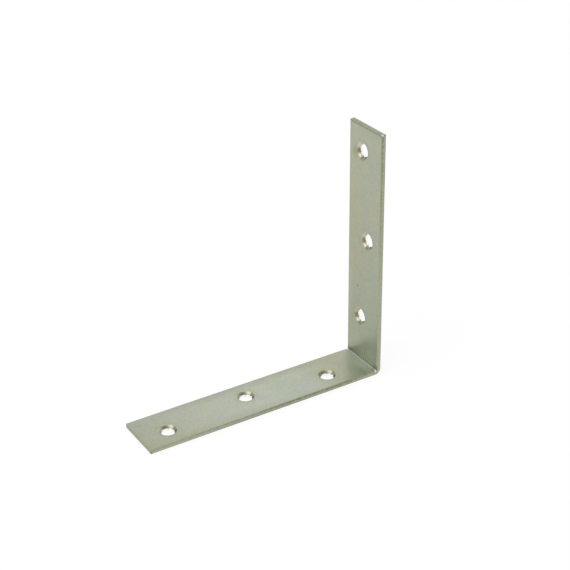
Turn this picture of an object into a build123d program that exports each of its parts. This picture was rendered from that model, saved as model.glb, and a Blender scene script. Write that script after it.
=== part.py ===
from build123d import *
from math import radians, tan
import os

# Corner brace: one flat steel strip, punched and countersunk while flat, then folded once to a right angle.
# The foot lies along -Y on the floor, the upright stands along +Z, and the width runs along X.
# The origin is the heel: the point where the two outer faces would meet if the bend were sharp.
# Millimetres.

# The strip
leg_length = 127.0          # each leg, from the heel to its cut end
strip_width = 25.4
thickness = 2.4
inner_bend_radius = 0.5     # folded over a nearly sharp edge

# The screw holes
hole_diameter = 6.0
sink_angle = 82             # whole angle of the countersink's cone, in degrees
sink_share = 0.66           # of the thickness that the cone takes up, over a short straight wall
first_hole = 25.5           # from the heel to the hole nearest it
last_hole_margin = 13.5     # from the hole nearest the cut end to that end
hole_shares = (0, 0.4925, 1)  # where each hole of a leg stands between the first and the last
stagger = 2.55              # how far each hole stands off the middle line, to one side and the other
pattern_shift = 0.55        # the punched pattern lies this far up the strip, away from the foot's end

# The edges: the strip is tumbled before plating, and the sinking tool rolls the hole's mouth over
strip_edge_radius = thickness / 8
mouth_radius = 0.42 * thickness
exit_radius = thickness / 16

# The wall keeps its thickness through the bend, so both bend radii share one centre
outer_bend_radius = inner_bend_radius + thickness

# The mouth's width, where the cone would meet the face if its edge were sharp
sink_diameter = hole_diameter + 2 * sink_share * thickness * tan(radians(sink_angle / 2))

# The inner faces take the screw heads. Each plane's Y runs from the heel to that leg's end.
foot_face = Plane(origin=(0, 0, thickness), x_dir=(-1, 0, 0), z_dir=(0, 0, 1))
upright_face = Plane(origin=(0, -thickness, 0), x_dir=(1, 0, 0), z_dir=(0, -1, 0))

# Two lengths that differ by less than this are the same
tolerance = 0.001


def face_line(depth, bend_radius):
    """One long face of the folded strip, seen from its side, at a depth under the outer face."""
    return FilletPolyline(
        (-leg_length, depth),
        (-depth, depth),
        (-depth, leg_length),
        radius=bend_radius,
    )


def hole_places(shift):
    """The holes of one leg: offset across the strip, and distance from the heel.

    The holes step from side to side. Seen square on with their ends up, both legs look alike,
    so one leg is the other turned half round about the line that halves the bend.
    """
    run = leg_length - last_hole_margin - first_hole
    places = []
    for number, share in enumerate(hole_shares):
        side = -1 if number % 2 == 0 else 1
        places.append((side * stagger, first_hole + share * run + shift))
    return places


def hole_rims(part, face, depth, diameter):
    """The round edges of one leg's holes that lie at a depth under that leg's inner face."""
    rims = []
    for edge in part.edges().filter_by(GeomType.CIRCLE):
        centre = face.to_local_coords(edge.arc_center)
        if abs(centre.Z + depth) < tolerance and abs(2 * edge.radius - diameter) < tolerance:
            rims.append(edge)
    return rims


with BuildPart() as brace:
    # The folded strip seen from its side: two long faces, joined by the two cut ends
    with BuildSketch(Plane.YZ):
        with BuildLine():
            outer_face = face_line(0, outer_bend_radius)
            inner_face = face_line(thickness, inner_bend_radius)
            Line(outer_face @ 0, inner_face @ 0)
            Line(outer_face @ 1, inner_face @ 1)
        make_face()
    extrude(amount=strip_width / 2, both=True)

    # Every edge is rounded except the four lines across the strip where the bend runs smoothly
    # into the flats, which are those nearest the heel
    smooth_lines = brace.edges().filter_by(Axis.X).sort_by_distance((0, 0, 0))[:4]
    fillet([edge for edge in brace.edges() if edge not in smooth_lines], strip_edge_radius)

    for face, shift in ((foot_face, -pattern_shift), (upright_face, pattern_shift)):
        with Locations(face):
            with Locations(*hole_places(shift)):
                CounterSinkHole(hole_diameter / 2, sink_diameter / 2, counter_sink_angle=sink_angle)
        fillet(hole_rims(brace, face, 0, sink_diameter), mouth_radius)
        fillet(hole_rims(brace, face, thickness, hole_diameter), exit_radius)

os.makedirs("parts", exist_ok=True)
export_step(brace.part, "parts/corner_brace.step")
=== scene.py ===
import math
import bpy
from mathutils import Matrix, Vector

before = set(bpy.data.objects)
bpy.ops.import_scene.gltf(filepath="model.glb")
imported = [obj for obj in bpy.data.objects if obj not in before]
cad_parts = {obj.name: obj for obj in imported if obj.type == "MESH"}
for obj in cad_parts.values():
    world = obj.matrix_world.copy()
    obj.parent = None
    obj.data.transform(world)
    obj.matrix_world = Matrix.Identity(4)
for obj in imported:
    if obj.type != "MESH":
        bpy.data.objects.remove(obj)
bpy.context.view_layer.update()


# The brace: one cold rolled steel strip, sheared to length, punched and countersunk while flat, folded
# once over a nearly sharp edge and then barrel plated with zinc. Its solid has the true shape already,
# so this section gives it its finish, laid out in millimetres on the strip as it was before the fold.

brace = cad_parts["corner_brace"]

half_width = 12.7
thickness = 2.4
leg_length = 127.0
bend_radius = 2.9       # of the outer face
middle_radius = 1.7     # halfway through the metal, where the strip neither stretches nor shrinks
bend_length = middle_radius * math.pi / 2
foot_end = bend_radius - leg_length     # along the strip, on which the bend starts at 0
upright_end = leg_length - bend_radius + bend_length

# The screw holes: first across and from the heel, then the same places across and along the strip
foot_hole_places = ((2.55, 24.95), (-2.55, 68.29), (2.55, 112.95))
upright_hole_places = ((-2.55, 26.05), (2.55, 69.39), (-2.55, 114.05))
foot_holes = [(offset, bend_radius - from_heel) for offset, from_heel in foot_hole_places]
past_bend = bend_length - bend_radius
upright_holes = [(offset, from_heel + past_bend) for offset, from_heel in upright_hole_places]
mouth_reach = 4.84      # from a hole's middle to where its rolled mouth meets the face
cone_reach = 4.10       # from a hole's middle to where the mouth runs into the cone
bore_reach = 3.0        # from a hole's middle to its straight wall
bore_depth = 0.82       # of the straight wall, above the outer face

zinc = bpy.data.materials.new("satin_zinc_plate")
zinc.use_nodes = True
tree = zinc.node_tree
tree.nodes.clear()


def feed(value, socket):
    """Gives a socket a plain number or colour, or what another node puts out."""
    if isinstance(value, bpy.types.NodeSocket):
        tree.links.new(value, socket)
    else:
        socket.default_value = value


def reckon(operation, *values):
    """One sum on numbers that change over the surface."""
    step = tree.nodes.new("ShaderNodeMath")
    step.operation = operation
    for value, socket in zip(values, step.inputs):
        feed(value, socket)
    return step.outputs[0]


def all_of(*shares):
    """Where every one of the shares holds. A plain number among them makes the whole weaker."""
    product = shares[0]
    for share in shares[1:]:
        product = reckon("MULTIPLY", product, share)
    return product


def between(share, low, high):
    """The low number where the share is 0, and the high one where it is 1."""
    return reckon("MULTIPLY_ADD", share, high - low, low)


def fade(value, start, stop):
    """0 before start and 1 past stop, with a soft passage between; start may be the larger."""
    step = tree.nodes.new("ShaderNodeMapRange")
    step.interpolation_type = "SMOOTHSTEP"
    feed(value, step.inputs["Value"])
    feed(start, step.inputs["From Min"])
    feed(stop, step.inputs["From Max"])
    return step.outputs["Result"]


def joined(*values):
    """Three numbers as one position or one colour."""
    step = tree.nodes.new("ShaderNodeCombineXYZ")
    for value, socket in zip(values, step.inputs):
        feed(value, socket)
    return step.outputs[0]


def blend_colour(share, colour, other):
    """The colour where the share is 0, and the other where it is 1."""
    step = tree.nodes.new("ShaderNodeMix")
    step.data_type = "RGBA"
    # The node has a set of sockets for each kind of value, and these are the ones for colour
    feed(share, step.inputs[0])
    feed(colour, step.inputs[6])
    feed(other, step.inputs[7])
    return step.outputs[2]


def tone(colour, tint):
    """A colour made lighter or darker, channel by channel."""
    step = tree.nodes.new("ShaderNodeVectorMath")
    step.operation = "MULTIPLY"
    feed(colour, step.inputs[0])
    feed(tint, step.inputs[1])
    return step.outputs[0]


def tint_where(share, colour, tint):
    """The colour as it is where the share is 0, and tinted where it is 1."""
    return blend_colour(share, colour, tone(colour, tint))


# Where a point lies on the flat strip: across, along from the start of the bend, and deep, which is
# 0 on the outer face. The metal turns about one centre through the bend, so nothing jumps there.
place = tree.nodes.new("ShaderNodeTexCoord")
in_mm = tree.nodes.new("ShaderNodeVectorMath")
in_mm.operation = "SCALE"
in_mm.inputs["Scale"].default_value = 1000
tree.links.new(place.outputs["Object"], in_mm.inputs[0])
axes = tree.nodes.new("ShaderNodeSeparateXYZ")
tree.links.new(in_mm.outputs[0], axes.inputs[0])
across, y, z = axes.outputs

# How far it is past the bend's centre, towards the upright's outer face and towards the foot's
behind = reckon("ADD", y, bend_radius)
below = reckon("SUBTRACT", bend_radius, z)
bend_behind = reckon("MAXIMUM", behind, 0)
bend_below = reckon("MAXIMUM", below, 0)
square = reckon("MULTIPLY_ADD", bend_below, bend_below, reckon("MULTIPLY", bend_behind, bend_behind))
deep = reckon("SUBTRACT", bend_radius, reckon("SQRT", square))
turn = reckon("ARCTAN2", bend_behind, bend_below)
foot_run = reckon("MINIMUM", behind, 0)
upright_run = reckon("MAXIMUM", reckon("MULTIPLY", below, -1), 0)
along = reckon("MULTIPLY_ADD", turn, middle_radius, reckon("ADD", foot_run, upright_run))
strip_place = joined(across, along, deep)

# How far a point is from the strip's sides, its cut ends and its two broad faces. The middle one of
# the three is how far it is from the nearest corner line.
from_side = reckon("SUBTRACT", half_width, reckon("ABSOLUTE", across))
from_end = reckon("MINIMUM", reckon("SUBTRACT", along, foot_end), reckon("SUBTRACT", upright_end, along))
from_face = reckon("MINIMUM", deep, reckon("SUBTRACT", thickness, deep))
lower = reckon("MINIMUM", from_side, from_end)
higher = reckon("MAXIMUM", from_side, from_end)
from_corner = reckon("MAXIMUM", lower, reckon("MINIMUM", higher, from_face))
side_place = joined(from_side, along, deep)

# The sheared sides and ends, the inner side of the strip, and the stretch below the upright's end
on_side = fade(from_side, 0.2, 0.02)
on_end = fade(from_end, 0.2, 0.02)
inside = fade(deep, 1.9, 2.2)
at_top = fade(along, 100, 110)


def stretch(start, full, still_full, stop):
    """1 along the strip from full to still_full, and softly down to 0 at start and at stop."""
    return all_of(fade(along, start, full), fade(along, stop, still_full))


def pattern(pitch, detail, shift):
    """Uneven cloud over the strip, with its size across, along and through the metal."""
    lay = tree.nodes.new("ShaderNodeMapping")
    lay.inputs["Location"].default_value = (shift, shift, shift)
    lay.inputs["Scale"].default_value = [1 / size for size in pitch]
    tree.links.new(strip_place, lay.inputs["Vector"])
    cloud = tree.nodes.new("ShaderNodeTexNoise")
    cloud.inputs["Scale"].default_value = 1
    cloud.inputs["Detail"].default_value = detail
    tree.links.new(lay.outputs["Vector"], cloud.inputs["Vector"])
    return cloud.outputs["Fac"]


def spot(position, middle, radius, softness=0.3):
    """A small round spot about a point, with an edge as soft as that share of its radius."""
    step = tree.nodes.new("ShaderNodeVectorMath")
    step.operation = "DISTANCE"
    tree.links.new(position, step.inputs[0])
    step.inputs[1].default_value = middle
    return fade(step.outputs["Value"], radius * (1 + softness), radius * (1 - softness))


def spots(places, softness=0.3):
    """Spots on the inner faces. Each place is across, along, radius, and how strong the spot is."""
    total = 0.0
    for spot_across, spot_along, radius, strength in places:
        one = spot(strip_place, (spot_across, spot_along, thickness), radius, softness)
        total = reckon("MULTIPLY_ADD", one, strength, total)
    return total


def marked(bearing, marks):
    """How strong a hole's marks are on this bearing from its middle."""
    total = 0.0
    for mark_turn, strength, edge, full in marks:
        off = reckon("COSINE", reckon("SUBTRACT", bearing, math.radians(mark_turn)))
        total = reckon("MULTIPLY_ADD", fade(off, edge, full), strength, total)
    return total


# The sinking tool chattered a little in each cone, which left shallow flats all round. The cones' colour
# is
# painted: dark, a painted shade for what they reflect, and pale in a few places, painted reflections of
# the lamps. The rolled mouth has painted lighter and darker marks, painted reflections, and one side each
# of the cone's foot and of the mouth's lip is painted darker, painted shade. A mark is a bearing in
# degrees from across the strip, a strength, and the cosines of the turn off it at which it starts and is
# full.
foot_marks = {
    "pale reflection": ((243, 0.66, 0.62, 1), (127, 0.26, 0.78, 1)),
    "mouth": ((82, -0.22, 0.80, 1), (165, 0.22, 0.60, 1), (262, 0.12, 0.80, 1)),
    "cone foot shade": ((128, 1, 0.82, 0.97),),
    "lip shade": ((325, 1, 0.4, 0.85),),
}
upright_marks = {
    "pale reflection": ((122, 1.0, 0.33, 1), (232, 0.24, 0.86, 1), (308, 0.22, 0.93, 1)),
    "mouth": ((230, 0.36, 0.90, 1), (266, -0.26, 0.85, 1), (180, 0.12, 0.85, 1)),
    "cone foot shade": ((233, 1, 0.82, 0.97),),
    "lip shade": ((30, 1, 0.4, 0.85),),
}
chatter_flats = 9
far_from_holes = 100.0
lip_width = 1.0

marked_holes = [(*hole, foot_marks) for hole in foot_holes]
marked_holes += [(*hole, upright_marks) for hole in upright_holes]

from_hole = far_from_holes
chatter = 0.0
pale_reflection = 0.0
mouth_sheen_and_shade = 0.0
cone_foot_shade = 0.0
lip_shade = 0.0
for hole_across, hole_along, marks in marked_holes:
    aside = reckon("SUBTRACT", across, hole_across)
    ahead = reckon("SUBTRACT", along, hole_along)
    distance = reckon("SQRT", reckon("MULTIPLY_ADD", aside, aside, reckon("MULTIPLY", ahead, ahead)))
    bearing = reckon("ARCTAN2", ahead, aside)
    within = reckon("LESS_THAN", distance, mouth_reach)
    beside = reckon("LESS_THAN", distance, mouth_reach + lip_width)
    wave = reckon("COSINE", reckon("MULTIPLY", bearing, chatter_flats))
    from_hole = reckon("MINIMUM", distance, from_hole)
    chatter = reckon("MULTIPLY_ADD", wave, within, chatter)
    pale_reflection = reckon("MULTIPLY_ADD", marked(bearing, marks["pale reflection"]), within, pale_reflection)
    mouth_sheen_and_shade = reckon("MULTIPLY_ADD", marked(bearing, marks["mouth"]), within, mouth_sheen_and_shade)
    cone_foot_shade = reckon("MULTIPLY_ADD", marked(bearing, marks["cone foot shade"]), within, cone_foot_shade)
    lip_shade = reckon("MULTIPLY_ADD", marked(bearing, marks["lip shade"]), beside, lip_shade)

in_cone = all_of(
    fade(from_hole, mouth_reach - 0.2, cone_reach - 0.2),
    fade(deep, bore_depth, bore_depth + 0.15),
)
in_bore = all_of(
    fade(from_hole, bore_reach + 0.4, bore_reach + 0.05),
    fade(deep, 0.03, 0.12),
    fade(deep, bore_depth + 0.5, bore_depth),
)

# The plating's colour: a pale green-grey, warmer and cooler in broad patches. From here on the colour is
# laid on patch by patch, and each patch says where it starts and where it is full along, across or through
# the strip.
warm_plate = (0.396, 0.406, 0.301, 1)
cool_plate = (0.383, 0.409, 0.324, 1)
broad_cloud = pattern(pitch=(26, 34, 9), detail=2, shift=3.1)
plate = blend_colour(fade(broad_cloud, 0.36, 0.64), warm_plate, cool_plate)

# Painted light and shade along the strip: the coat is tinted lighter, darker and bluer in stretches where
# the light falls differently, and the ramp also sets how strong the corner and side bands are, which are
# partly wear and partly painted shade. A ramp holds no colour above 1, so this one holds half of each tint
# and the colour is doubled after it.
light_and_wear_stops = (         # along the strip, the painted tint of light and shade there, and the strength of wear and painted shade
    (-124, (0.945, 0.96, 0.97), 0.20),
    (-95, (1.10, 1.11, 1.16), 0.35),
    (-72, (1.155, 1.17, 1.215), 0.40),
    (-52, (1.18, 1.20, 1.24), 0.97),
    (-15, (1.06, 1.05, 1.02), 0.74),
    (2, (0.96, 0.98, 0.97), 0.45),
    (15, (0.86, 0.91, 0.90), 0.05),
    (50, (0.95, 0.955, 0.915), 0.10),
    (90, (1.02, 1.01, 0.97), 0.60),
    (125, (1.05, 1.04, 1.01), 1.00),
)
strip_length = upright_end - foot_end
light_and_wear_ramp = tree.nodes.new("ShaderNodeValToRGB")
light_and_wear_ramp.color_ramp.interpolation = "CARDINAL"
ramp_stops = light_and_wear_ramp.color_ramp.elements
for _ in light_and_wear_stops[2:]:               # a new ramp has two stops
    ramp_stops.new(1)
for stop, (where, tint, wear_and_shade_share) in zip(ramp_stops, light_and_wear_stops):
    stop.position = (where - foot_end) / strip_length
    stop.color = (*[channel / 2 for channel in tint], wear_and_shade_share)
feed(reckon("DIVIDE", reckon("SUBTRACT", along, foot_end), strip_length), light_and_wear_ramp.inputs[0])
plate = tone(tone(plate, light_and_wear_ramp.outputs["Color"]), (2, 2, 2))
wear_and_shade = light_and_wear_ramp.outputs["Alpha"]

# It is mottled finely and in small clouds, and a little warmer and cooler in both
small_cloud = pattern(pitch=(5, 7, 3), detail=2, shift=11.7)
mottle = pattern(pitch=(1.0, 1.2, 1.0), detail=2, shift=7.9)
speckle = pattern(pitch=(1.5, 2.0, 1.0), detail=2, shift=21.0)
darkest_shade = 0.815
cloud_strength = 0.10
mottle_strength = 0.27
shade = reckon("MULTIPLY_ADD", small_cloud, cloud_strength, darkest_shade)
shade = reckon("MULTIPLY_ADD", mottle, mottle_strength, shade)
plate = tone(plate, joined(shade, shade, shade))
cool_cloud = (0.995, 1.0, 1.018, 1)
warm_cloud = (1.005, 1.0, 0.982, 1)
plate = tone(plate, blend_colour(fade(small_cloud, 0.35, 0.65), cool_cloud, warm_cloud))
cool_speckle = (0.996, 1.003, 1.008, 1)
warm_speckle = (1.004, 0.997, 0.992, 1)
plate = tone(plate, blend_colour(fade(speckle, 0.35, 0.65), cool_speckle, warm_speckle))

# Round the holes' mouths the coat has an olive ring, with a painted highlight on the lip in it and painted
# shade on one side of the lip
ring_olive = (0.33, 0.335, 0.215, 1)
mouth_side = fade(deep, 1.2, 1.6)
ring = all_of(mouth_side, fade(from_hole, 7.0, 4.9), 0.34)
plate = blend_colour(ring, plate, ring_olive)
lip_highlight = all_of(mouth_side, fade(from_hole, 5.7, 5.1), fade(from_hole, 4.5, 4.8))
plate = tint_where(lip_highlight, plate, (1.07, 1.07, 1.04))
lip_shade = all_of(lip_shade, mouth_side, fade(from_hole, 5.5, 5.0))
plate = tint_where(lip_shade, plate, (0.86, 0.86, 0.89))

# The upright mirrors the foot in a triangle that widens towards the near side, and close to the fold the
# coat is painted bluer up to the triangle's edge, which keeps to one slant, a painted tint of that
# reflection.
# The folding tool's nose pressed a matt patch on the foot, which is also painted lighter, a painted
# highlight;
# beside it painted shade darkens the foot towards the near side, and just above the fold the upright is
# paler.
triangle_slope = 0.65       # along the strip for each millimetre across
slant = reckon("MULTIPLY_ADD", across, -triangle_slope, along)
fold_reflection_tint = all_of(inside, stretch(-14, -4, 7, 15), fade(slant, 13, 9))
plate = tint_where(fold_reflection_tint, plate, (1.0, 1.01, 1.075))
matt_lit_patch = all_of(inside, stretch(-10, -0.5, 0.4, 1.2), fade(across, 11.5, 3.5))
plate = tint_where(matt_lit_patch, plate, (1.19, 1.20, 1.21))
near_fold_shade = all_of(inside, stretch(-8.5, -5.5, -5.5, -3.5), fade(across, 3, 10.5))
plate = tint_where(near_fold_shade, plate, (0.79, 0.78, 0.79))
near_rim_shade = all_of(inside, stretch(-5.5, -3, 0.4, 1.2), fade(across, 7, 10.5))
plate = tint_where(near_rim_shade, plate, (0.88, 0.87, 0.88))
above_fold = all_of(inside, stretch(1.5, 2.5, 6, 15), fade(across, -10, 2))
plate = tint_where(above_fold, plate, (1.16, 1.16, 1.11))

# Inside the triangle the upright is painted bluer still, a painted tint of the reflection, and close to
# the triangle's edge painted shade darkens it
on_upright = all_of(inside, fade(along, 1.2, 2.5))
painted_mirror_tint = all_of(on_upright, fade(slant, 11, 8))
plate = tint_where(painted_mirror_tint, plate, (1.0, 1.0, 1.085))
triangle_edge_shade = all_of(on_upright, fade(slant, 4, 9), fade(slant, 15.5, 11), fade(across, 8, 1))
plate = tint_where(triangle_edge_shade, plate, (0.85, 0.85, 0.86))

# Beside each of the upright's holes, on the far side and a little below, the coat has a brown bloom, the
# strongest at the top, and along that side the upright is paler from its first hole to its second
bloom_aside = 5.1
bloom_below = 1.8
bloom_radius = 2.2
bloom_places = []
for (hole_across, hole_along), brownness in zip(upright_holes, (0.35, 0.25, 1.0)):
    bloom_places.append((hole_across - bloom_aside, hole_along - bloom_below, bloom_radius, brownness))
plate = tint_where(spots(bloom_places, softness=0.95), plate, (0.90, 0.81, 0.69))
paler_side = all_of(inside, stretch(18, 32, 45, 72), fade(across, -7, -11))
plate = tint_where(paler_side, plate, (1.09, 1.07, 1.07))

# Along the middle of the foot both edges are a little duller, and the near one is yellower to its end.
# By the foot's first hole the coat has three bluish clouds.
far_edge = all_of(inside, stretch(-118, -86, -45, -1), fade(across, -5, -12.7))
plate = tint_where(far_edge, plate, (0.875, 0.855, 0.865))
near_edge = all_of(inside, stretch(-122, -98, -65, -25), fade(across, 6, 12.5))
plate = tint_where(near_edge, plate, (0.93, 0.91, 0.885))
near_yellow = all_of(inside, fade(along, -70, -102), fade(across, 6, 12.5))
plate = tint_where(near_yellow, plate, (1.01, 1.0, 0.92))
blue_clouds = spots(((7, -33, 6, 1), (-7, -36, 5, 1), (9.5, -12, 5, 1)), softness=0.9)
plate = tint_where(blue_clouds, plate, (1.04, 1.05, 1.11))

# The sheared sides and ends are duller. The sides are cleaner on the upright and towards the foot's end,
# paler by the heel, and dull along the foot's lower edge and up the inner corner just above the fold.
plate = tint_where(on_side, plate, (0.84, 0.83, 0.78))
cleaner = all_of(on_side, reckon("MAXIMUM", fade(along, -18, 4), fade(along, -78, -116)))
plate = tint_where(cleaner, plate, (1.24, 1.24, 1.24))
by_heel = all_of(on_side, stretch(-14, -3, 40, 75))
plate = tint_where(by_heel, plate, (1.09, 1.08, 1.10))
lower_edge = all_of(on_side, stretch(-90, -76, -38, -28), fade(deep, 1.2, 0.5))
plate = tint_where(lower_edge, plate, (0.88, 0.88, 0.85))
heel_corner = all_of(on_side, stretch(2, 5, 9, 22), fade(deep, 1.3, 2.1))
plate = tint_where(heel_corner, plate, (0.89, 0.91, 0.93))
plate = tint_where(on_end, plate, (1.0, 0.99, 0.95))
worn_end = all_of(on_end, wear_and_shade)
plate = tint_where(worn_end, plate, (0.97, 0.96, 1.0))

# Under the inner corner the sides carry a dark olive band, partly rubbed by the shear's blade and partly
# painted shade where the face meets the side. It is broken into flecks and weaker on the upright, whose
# outer half is bluer, and the shear left streaks through the metal
rubbed_and_shaded_olive = (0.195, 0.205, 0.12, 1)
streak_olive = (0.24, 0.24, 0.16, 1)
edge_raggedness = 1.2
sheared = reckon("MAXIMUM", on_side, on_end)
flecks = pattern(pitch=(1.2, 1.7, 1.5), detail=1, shift=8.2)
shear_marks = pattern(pitch=(0.4, 0.4, 4), detail=3, shift=8.2)
ragged_depth = reckon("MULTIPLY_ADD", flecks, edge_raggedness, deep)
weaker_upright = between(fade(along, 0, 15), 0.74, 0.50)
flecked = between(fade(flecks, 0.38, 0.58), 0.60, 1.34)
rubbed_and_shaded = all_of(sheared, fade(ragged_depth, 1.65, 2.3), wear_and_shade, weaker_upright, flecked)
plate = blend_colour(rubbed_and_shaded, plate, rubbed_and_shaded_olive)
outer_half = all_of(on_side, fade(along, 10, 35), fade(deep, 1.4, 0.8))
plate = tint_where(outer_half, plate, (0.99, 0.965, 1.12))
streaks = all_of(sheared, fade(shear_marks, 0.45, 0.75), wear_and_shade, 0.5)
plate = blend_colour(streaks, plate, streak_olive)

# Along the corners the plating is thinner and olive where the strips rubbed on each other in the barrel,
# and the same dark olive is painted shade along the corner lines; it is weaker round the upright's end
corner_olive_and_shade = (0.265, 0.275, 0.165, 1)
by_top = all_of(fade(from_end, 1.5, 0.9), at_top)
worn_and_shaded_corner = all_of(fade(from_corner, 0.9, 0.1), wear_and_shade, between(by_top, 0.33, 0.15))
plate = blend_colour(worn_and_shaded_corner, plate, corner_olive_and_shade)

# At the top a dark line just under the end and a slightly darker stretch below it are painted shade, and
# at the foot's end painted shade darkens the corner line, while the near corner is yellower
top_shade_line = all_of(inside, fade(from_end, 0.05, 0.35), fade(from_end, 1.15, 0.75), at_top)
plate = tint_where(top_shade_line, plate, (0.66, 0.67, 0.60))
under_end_shade = all_of(inside, fade(from_end, 5.5, 1.5), at_top)
plate = tint_where(under_end_shade, plate, (0.96, 0.96, 0.97))
foot_end_shade = all_of(inside, fade(from_end, 0.55, 0.20), fade(along, -100, -110))
plate = tint_where(foot_end_shade, plate, (0.84, 0.82, 0.74))
near_corner = all_of(inside, fade(along, -114, -122), fade(across, 0, 9))
plate = tint_where(near_corner, plate, (1.04, 0.985, 0.90))

# In the fold lies a painted highlight, the bright line along the inner bend, and above it painted shade,
# the dark crease, which is widest at its two ends. At both ends of the fold a painted glint stands for a
# little metal that the fold squeezed out of the sides.
fold_highlight_colour = (0.56, 0.58, 0.47, 1)
crease_shade_colour = (0.13, 0.135, 0.095, 1)
crease_end_shade_colour = (0.14, 0.145, 0.095, 1)
squeezed_glint_colour = (0.80, 0.80, 0.72, 1)
fold_highlight_line = all_of(inside, stretch(-1.0, -0.4, 0.3, 0.8), 0.75)
plate = blend_colour(fold_highlight_line, plate, fold_highlight_colour)
crease_shade = all_of(inside, stretch(0.3, 0.9, 2.8, 3.5), 0.62)
plate = blend_colour(crease_shade, plate, crease_shade_colour)
crease_end_shade = all_of(inside, stretch(0.5, 1.2, 3.0, 5.5), fade(from_side, 5.5, 1.5), 0.80)
plate = blend_colour(crease_end_shade, plate, crease_end_shade_colour)
squeezed_glint = spot(side_place, (0.6, 0.1, 2.3), 0.90)
plate = blend_colour(squeezed_glint, plate, squeezed_glint_colour)

# The upright's inner corner tips carry a painted glint, and the coat is burnt on its outer ones and on the
# foot's near one. On the faces lie a few burnt specks and a few bare ones.
tip_glint_colour = (0.66, 0.66, 0.58, 1)
burnt = (0.20, 0.19, 0.18, 1)
speck_dark = (0.17, 0.15, 0.10, 1)
speck_bare = (0.62, 0.63, 0.56, 1)
tip_glint = spot(side_place, (0.05, upright_end - 0.05, 1.85), 0.62)
plate = blend_colour(tip_glint, plate, tip_glint_colour)
burnt_top = spot(side_place, (0.1, upright_end - 0.1, 0.30), 0.62)
burnt_foot = spot(strip_place, (half_width - 0.1, foot_end + 0.1, 0.5), 0.65)
plate = blend_colour(all_of(reckon("MAXIMUM", burnt_top, burnt_foot), 0.75), plate, burnt)
burnt_specks = (
    (-4.77, 41.9, 0.48, 0.85),
    (-1.83, 61.3, 0.42, 0.28),
    (-2.37, 49.1, 0.38, 0.28),
    (1.98, 103.2, 0.40, 0.26),
    (-9.67, 109.5, 0.40, 0.26),
    (-8.86, -24.3, 0.45, 0.32),
    (-7.52, -120.6, 0.45, 0.28),
    (-9.89, -112.1, 0.45, 0.26),
)
plate = blend_colour(spots(burnt_specks), plate, speck_dark)
bare_specks = (
    (3.91, 119.4, 0.45, 0.25),
    (-8.24, 42.0, 0.45, 0.22),
    (10.34, 70.8, 0.45, 0.22),
    (-9.79, -82.2, 0.45, 0.20),
    (10.59, -111.9, 0.40, 0.18),
)
plate = blend_colour(spots(bare_specks), plate, speck_bare)

# The cones are painted dark, painted shade with the chatter's faint ripple, and pale in a few places,
# painted reflections of the lamps; the punched walls are polished
cone_shade_hollow = (0.165, 0.165, 0.112, 1)
cone_shade_crest = (0.205, 0.205, 0.143, 1)
painted_pale_reflection = (0.78, 0.75, 0.63, 1)
polished_wall = (0.93, 0.93, 0.90, 1)
painted_cone_shade = blend_colour(fade(chatter, -0.9, 0.9), cone_shade_hollow, cone_shade_crest)
plate = blend_colour(in_cone, plate, blend_colour(pale_reflection, painted_cone_shade, painted_pale_reflection))
on_mouth = all_of(mouth_side, fade(from_hole, 4.95, 4.65), fade(from_hole, 3.7, 4.1))
mouth_sheen_tone = reckon("MULTIPLY_ADD", mouth_sheen_and_shade, on_mouth, 1)
plate = tone(plate, joined(mouth_sheen_tone, mouth_sheen_tone, mouth_sheen_tone))
plate = blend_colour(in_bore, plate, polished_wall)
cone_foot_shade = all_of(cone_foot_shade, fade(from_hole, 3.65, 3.2), fade(deep, 0.55, 0.85))
plate = tint_where(cone_foot_shade, plate, (0.55, 0.55, 0.53))

# How rough each place is, over the satin of the faces with its fine grain along the strip
grain = pattern(pitch=(0.22, 9, 0.22), detail=3, shift=5.0)
roughness = between(grain, 0.30, 0.38)
rougher_places = (
    (on_side, 0.10),
    (on_end, 0.12),
    (fold_reflection_tint, -0.06),
    (matt_lit_patch, 0.40),
    (in_cone, -0.06),
    (all_of(in_cone, pale_reflection), 0.30),
    (in_bore, -0.20),
)
for share, rougher in rougher_places:
    roughness = reckon("MULTIPLY_ADD", share, rougher, roughness)

# The relief of the grain and the satin, in millimetres that the bump's distance turns into metres
grain_height = 0.0012
satin_height = 0.0008
satin = pattern(pitch=(0.18, 0.26, 0.18), detail=1, shift=1.3)
height = reckon("MULTIPLY_ADD", grain, grain_height, reckon("MULTIPLY", satin, satin_height))
relief = tree.nodes.new("ShaderNodeBump")
relief.inputs["Strength"].default_value = 1
relief.inputs["Distance"].default_value = 0.001
tree.links.new(height, relief.inputs["Height"])

metal = tree.nodes.new("ShaderNodeBsdfPrincipled")
metal.inputs["Metallic"].default_value = 1
tree.links.new(plate, metal.inputs["Base Color"])
tree.links.new(roughness, metal.inputs["Roughness"])
tree.links.new(relief.outputs["Normal"], metal.inputs["Normal"])
surface = tree.nodes.new("ShaderNodeOutputMaterial")
tree.links.new(metal.outputs[0], surface.inputs["Surface"])

for slot in brace.material_slots:
    slot.material = zinc


# The floor: a sheet of matt white paper that the foot lies flat on. The eye, and whatever mirrors it,
# sees it nearly as bright as the background, and it still takes the shadow of the brace. From here on
# sizes are in metres.

floor_half = 6.0
floor_height = -0.00004     # a hair under the foot, so that the two faces don't fight
paper_white = (0.88, 0.88, 0.88, 1)
glow_share = 0.88           # how much of the background's white the eye sees over the paper's own

floor_corners = []
for side_x, side_y in ((-1, -1), (1, -1), (1, 1), (-1, 1)):
    floor_corners.append((floor_half * side_x, floor_half * side_y, floor_height))
floor_mesh = bpy.data.meshes.new("paper_floor")
floor_mesh.from_pydata(floor_corners, [], [(0, 1, 2, 3)])
floor = bpy.data.objects.new("paper_floor", floor_mesh)
bpy.context.scene.collection.objects.link(floor)

paper = bpy.data.materials.new("white_paper")
paper.use_nodes = True
nodes = paper.node_tree.nodes
links = paper.node_tree.links
nodes.clear()

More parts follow.
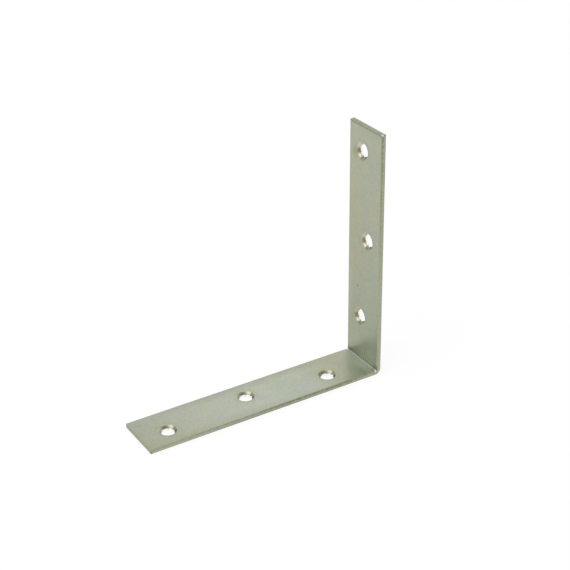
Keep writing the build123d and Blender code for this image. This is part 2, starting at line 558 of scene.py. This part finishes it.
# 1 for the eye and for what metal or glass shows, 0 for soft light
path = nodes.new("ShaderNodeLightPath")
seen = path.outputs["Is Camera Ray"]
for ray in ("Is Glossy Ray", "Is Transmission Ray"):
    either = nodes.new("ShaderNodeMath")
    either.operation = "MAXIMUM"
    links.new(seen, either.inputs[0])
    links.new(path.outputs[ray], either.inputs[1])
    seen = either.outputs[0]

matt = nodes.new("ShaderNodeBsdfDiffuse")
matt.inputs["Color"].default_value = paper_white
glow = nodes.new("ShaderNodeEmission")
glow.inputs["Color"].default_value = (1, 1, 1, 1)
glow.inputs["Strength"].default_value = 1
seen_glow = nodes.new("ShaderNodeMath")
seen_glow.operation = "MULTIPLY"
seen_glow.inputs[1].default_value = glow_share
links.new(seen, seen_glow.inputs[0])
mix = nodes.new("ShaderNodeMixShader")
links.new(seen_glow.outputs[0], mix.inputs[0])
links.new(matt.outputs[0], mix.inputs[1])
links.new(glow.outputs[0], mix.inputs[2])
surface = nodes.new("ShaderNodeOutputMaterial")
links.new(mix.outputs[0], surface.inputs["Surface"])
floor_mesh.materials.append(paper)


# The light: a plain white room all round, a broad cool window light from the left and a little in front,
# and a warm lamp in front and above, which shows mostly in the holes' mouths and on the corners' tips.

world = bpy.data.worlds.new("white_room")
world.use_nodes = True
bpy.context.scene.world = world
nodes = world.node_tree.nodes
nodes.clear()
walls = nodes.new("ShaderNodeBackground")
walls.inputs["Color"].default_value = (1, 1, 1, 1)
walls.inputs["Strength"].default_value = 1
sky = nodes.new("ShaderNodeOutputWorld")
world.node_tree.links.new(walls.outputs[0], sky.inputs["Surface"])

lit = Vector((0, -0.045, 0.045))    # a point between the two legs, which both lamps face


def lamp(name, direction, distance, size, power, colour):
    """A soft rectangular lamp that stands off the brace in a direction and faces it."""
    light = bpy.data.lights.new(name, "AREA")
    light.shape = "RECTANGLE"
    light.size, light.size_y = size
    light.energy = power
    light.color = colour
    stand = bpy.data.objects.new(name, light)
    bpy.context.scene.collection.objects.link(stand)
    stand.location = lit + Vector(direction).normalized() * distance
    stand.rotation_euler = (lit - stand.location).to_track_quat("-Z", "Y").to_euler()
    stand.visible_camera = False


lamp(
    "window_light",
    direction=(-0.81, -0.30, 0.50),
    distance=1.6,
    size=(1.4, 1.1),
    power=4.1,
    colour=(0.76, 0.87, 1.0),
)
lamp(
    "warm_lamp",
    direction=(0.11, -0.715, 0.69),
    distance=1.2,
    size=(0.95, 0.70),
    power=3.9,
    colour=(1.0, 0.96, 0.91),
)


# The camera stands in front on the right, above the brace, and looks down on it through a long lens.
# It is rolled a little, so that the upright leans as it does in the photograph.

camera_place = Vector((0.488025, -0.345709, 0.370141))
camera_aim = Vector((0, -0.04686, 0.05783))
camera_roll = -0.751        # degrees

eye = bpy.data.cameras.new("camera")
eye.sensor_width = 36
eye.lens = 88.32
eye.clip_start = 0.01
eye.clip_end = 100
camera = bpy.data.objects.new("camera", eye)
bpy.context.scene.collection.objects.link(camera)
camera.location = camera_place
camera.rotation_euler = (camera_aim - camera_place).to_track_quat("-Z", "Y").to_euler()
camera.rotation_euler.rotate_axis("Z", math.radians(camera_roll))
bpy.context.scene.camera = camera
bpy.context.scene.view_settings.view_transform = "Standard"
